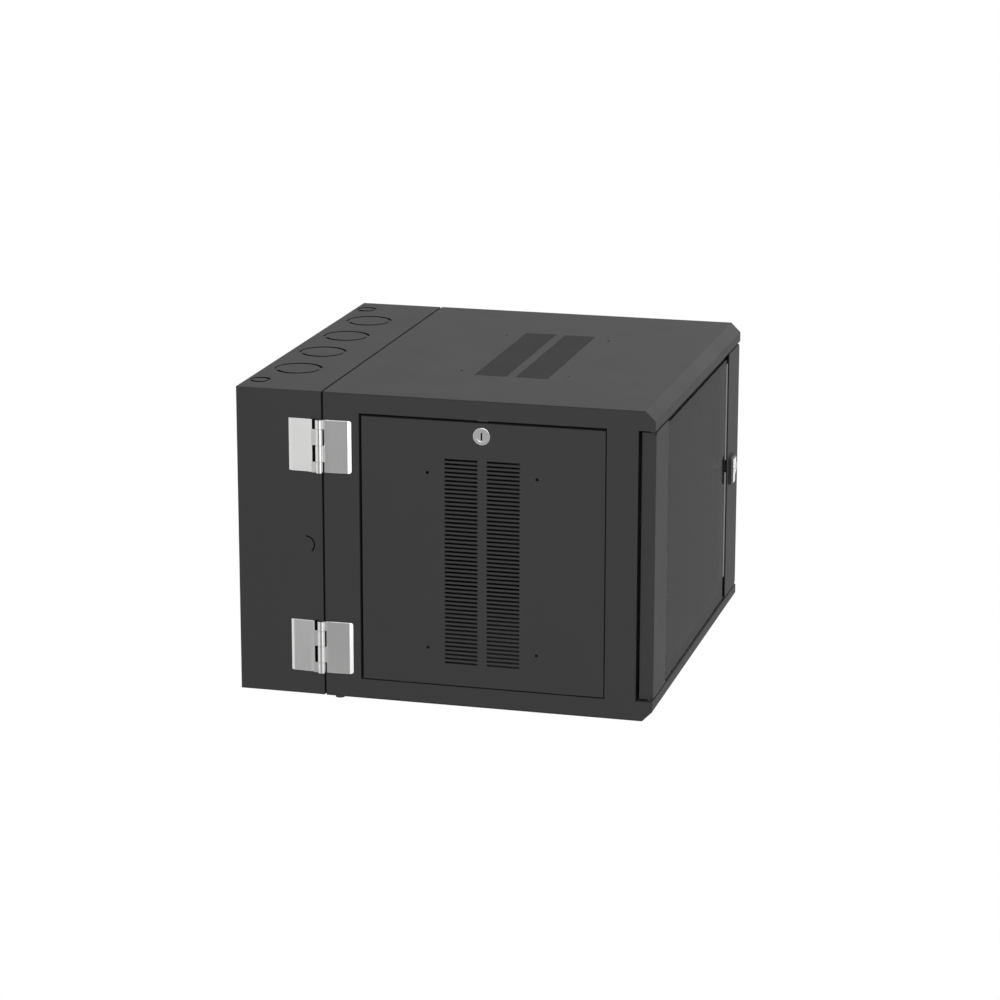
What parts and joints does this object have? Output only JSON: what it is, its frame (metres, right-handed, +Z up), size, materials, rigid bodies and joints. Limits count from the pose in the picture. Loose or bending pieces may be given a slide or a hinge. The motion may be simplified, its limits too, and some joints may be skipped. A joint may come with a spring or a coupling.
{
  "type": "wall mount network cabinet",
  "caption": "Wall mount network cabinet with a smoked-glass door, vented lock-on side panels and a rack body that swings off its wall section.",
  "frame": {"origin": "on the wall plane, in the middle of the four wall fixing holes", "axes": "+X to the right seen from the front, +Y into the wall, +Z up; the door faces -Y"},
  "size_m": [0.6141, 0.5966, 0.4372],
  "materials": {
    "cabinet_paint": "fine satin powder coat",
    "rail_paint": "satin powder coat",
    "cast_hinge": "satin-plated die casting",
    "zinc_plate": "bright zinc plate",
    "lock_chrome": "satin chrome",
    "smoked_pane": "smoked, polished",
    "gasket_rubber": "matte",
    "black_plastic": "fine texture"
  },
  "bodies": {
    "wall_section": {"wall_frame": "cabinet_paint", "wall_back_plate": "cabinet_paint", "wall_hinge_leaf_upper": "cast_hinge", "wall_hinge_leaf_lower": "cast_hinge", "hinge_pin_upper": "zinc_plate", "hinge_pin_lower": "zinc_plate", "wall_hinge_nuts": "zinc_plate", "swing_strike": "zinc_plate"},
    "swing_body": {"top_cover": "cabinet_paint", "bottom_cover": "cabinet_paint", "side_frame_left": "cabinet_paint", "side_frame_right": "cabinet_paint", "front_frame": "cabinet_paint", "rear_frame": "cabinet_paint", "seam_seal": "gasket_rubber", "rack_rail_front_left": "rail_paint", "rack_rail_front_right": "rail_paint", "rack_rail_rear_left": "rail_paint", "rack_rail_rear_right": "rail_paint", "depth_rail_upper_left": "rail_paint", "depth_rail_upper_right": "rail_paint", "depth_rail_lower_left": "rail_paint", "depth_rail_lower_right": "rail_paint", "rail_bolts": "zinc_plate", "body_hinge_leaf_upper": "cast_hinge", "body_hinge_leaf_lower": "cast_hinge", "body_hinge_nuts": "zinc_plate", "door_bush_upper": "black_plastic", "door_bush_lower": "black_plastic", "panel_keeper_left": "zinc_plate", "panel_keeper_right": "zinc_plate", "swing_lock_housing": "lock_chrome", "swing_lock_nut": "zinc_plate", "underside_glides": "black_plastic"},
    "door": {"door_stile_left": "cabinet_paint", "door_stile_right": "cabinet_paint", "door_rail_top": "cabinet_paint", "door_rail_bottom": "cabinet_paint", "door_glass": "smoked_pane", "glass_gasket": "gasket_rubber", "door_pin_upper": "zinc_plate", "door_pin_lower": "zinc_plate", "latch_housing": "black_plastic", "latch_nut": "zinc_plate"},
    "door_handle": {"latch_handle": "lock_chrome", "latch_cam": "zinc_plate"},
    "door_key": {"latch_plug": "lock_chrome"},
    "panel_left": {"side_panel_left": "cabinet_paint", "panel_lock_housing_left": "lock_chrome", "panel_lock_nut_left": "zinc_plate"},
    "panel_right": {"side_panel_right": "cabinet_paint", "panel_lock_housing_right": "lock_chrome", "panel_lock_nut_right": "zinc_plate"},
    "panel_key_left": {"panel_lock_plug_left": "lock_chrome", "panel_lock_cam_left": "zinc_plate"},
    "panel_key_right": {"panel_lock_plug_right": "lock_chrome", "panel_lock_cam_right": "zinc_plate"},
    "swing_key": {"swing_lock_plug": "lock_chrome", "swing_lock_cam": "zinc_plate"}
  },
  "joints": [
    {"name": "body_swing", "type": "hinge", "parent": "wall_section", "child": "swing_body", "pos_m": [-0.3058, -0.1205, 0], "axis": [0, 0, -1], "range_deg": [0, 100]},
    {"name": "door_swing", "type": "hinge", "parent": "swing_body", "child": "door", "pos_m": [-0.287, -0.582, 0], "axis": [0, 0, -1], "range_deg": [0, 180]},
    {"name": "handle_turn", "type": "hinge", "parent": "door", "child": "door_handle", "pos_m": [0.2405, -0.589, 0.01], "axis": [0, -1, 0], "range_deg": [0, 90]},
    {"name": "door_key_turn", "type": "hinge", "parent": "door_handle", "child": "door_key", "pos_m": [0.2405, -0.589, 0.01], "axis": [0, -1, 0], "range_deg": [0, 90]},
    {"name": "panel_left_tilt", "type": "hinge", "parent": "swing_body", "child": "panel_left", "pos_m": [-0.298, -0.3495, -0.188], "axis": [0, -1, 0], "range_deg": [0, 35]},
    {"name": "panel_right_tilt", "type": "hinge", "parent": "swing_body", "child": "panel_right", "pos_m": [0.298, -0.3495, -0.188], "axis": [0, 1, 0], "range_deg": [0, 35]},
    {"name": "panel_left_key_turn", "type": "hinge", "parent": "panel_left", "child": "panel_key_left", "pos_m": [-0.3, -0.3495, 0.1684], "axis": [1, 0, 0], "range_deg": [0, 90]},
    {"name": "panel_right_key_turn", "type": "hinge", "parent": "panel_right", "child": "panel_key_right", "pos_m": [0.3, -0.3495, 0.1684], "axis": [1, 0, 0], "range_deg": [0, 90]},
    {"name": "swing_key_turn", "type": "hinge", "parent": "swing_body", "child": "swing_key", "pos_m": [0.3, -0.149, 0], "axis": [1, 0, 0], "range_deg": [0, 90]}
  ]
}
